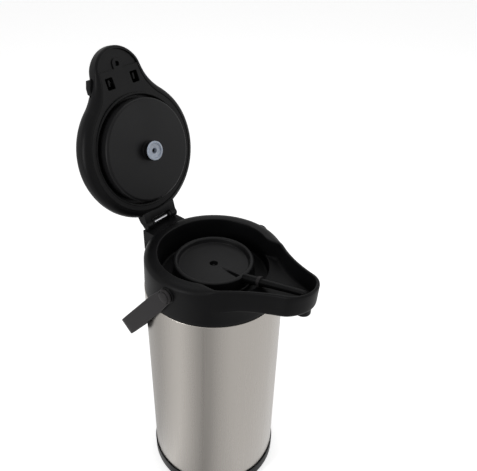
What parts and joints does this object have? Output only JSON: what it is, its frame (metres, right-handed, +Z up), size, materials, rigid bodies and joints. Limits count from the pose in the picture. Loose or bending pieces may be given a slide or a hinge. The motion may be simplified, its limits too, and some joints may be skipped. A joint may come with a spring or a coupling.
{
  "type": "pump vacuum flask",
  "caption": "Steel pump vacuum flask with a black head, a hinged pump lid standing open, a long pouring spout, a lift-out stopper and a swinging carrying handle.",
  "frame": {"origin": "middle of the foot pad's underside, on the flask's axis", "axes": "+Z up along the flask's axis, +X towards the spout, +Y to the left when looking along the spout"},
  "size_m": [0.2864, 0.1672, 0.5141],
  "materials": {
    "steel": "brushed",
    "black_plastic": "satin",
    "grey_plastic": "satin",
    "black_rubber": "matte",
    "silicone": "milky",
    "bright_metal": "polished"
  },
  "bodies": {
    "flask": {"base_cap": "black_plastic", "foot_pad": "black_rubber", "outer_shell": "steel", "inner_liner": "steel", "neck_gasket": "silicone", "collar": "black_plastic", "spout_nozzle": "black_plastic", "hinge_pin": "bright_metal", "stopper_body": "black_plastic", "stopper_gasket": "silicone", "air_valve": "black_rubber", "dip_tube": "silicone", "tube_socket": "black_plastic", "tube_sleeve": "grey_plastic", "dispense_tube": "black_plastic", "handle_pin_left": "grey_plastic", "handle_pin_right": "grey_plastic"},
    "handle": {"handle_bail": "grey_plastic"},
    "lid": {"lid_shell": "black_plastic", "lid_panel": "black_plastic", "lid_screw": "bright_metal", "bellows_plate": "black_plastic", "bellows": "black_rubber", "button_spring": "bright_metal", "nozzle": "black_plastic", "nozzle_seal": "silicone", "nozzle_valve": "black_rubber", "tab_spring_left": "bright_metal", "tab_spring_right": "bright_metal"},
    "button": {"push_button": "grey_plastic", "intake_valve": "silicone"},
    "tab_left": {"release_tab_left": "black_plastic"},
    "tab_right": {"release_tab_right": "black_plastic"}
  },
  "joints": [
    {"name": "lid_hinge", "type": "hinge", "parent": "flask", "child": "lid", "pos_m": [-0.0833, 0, 0.327], "axis": [0, 1, 0], "range_deg": [0, 105.6]},
    {"name": "handle_swing", "type": "hinge", "parent": "flask", "child": "handle", "pos_m": [0.005, 0, 0.3085], "axis": [0, 1, 0], "range_deg": [0, 60]},
    {"name": "button_press", "type": "slide", "parent": "lid", "child": "button", "axis": [0.9632, 0, 0.2689], "range_m": [0, 0.016], "stiffness_N_per_m": 300, "deforming": ["bellows", "button_spring"]},
    {"name": "tab_left_press", "type": "slide", "parent": "lid", "child": "tab_left", "axis": [0, -1, 0], "range_m": [0, 0.0025], "stiffness_N_per_m": 400, "deforming": ["tab_spring_left"]},
    {"name": "tab_right_press", "type": "slide", "parent": "lid", "child": "tab_right", "axis": [0, 1, 0], "range_m": [0, 0.0025], "stiffness_N_per_m": 400, "deforming": ["tab_spring_right"]}
  ]
}
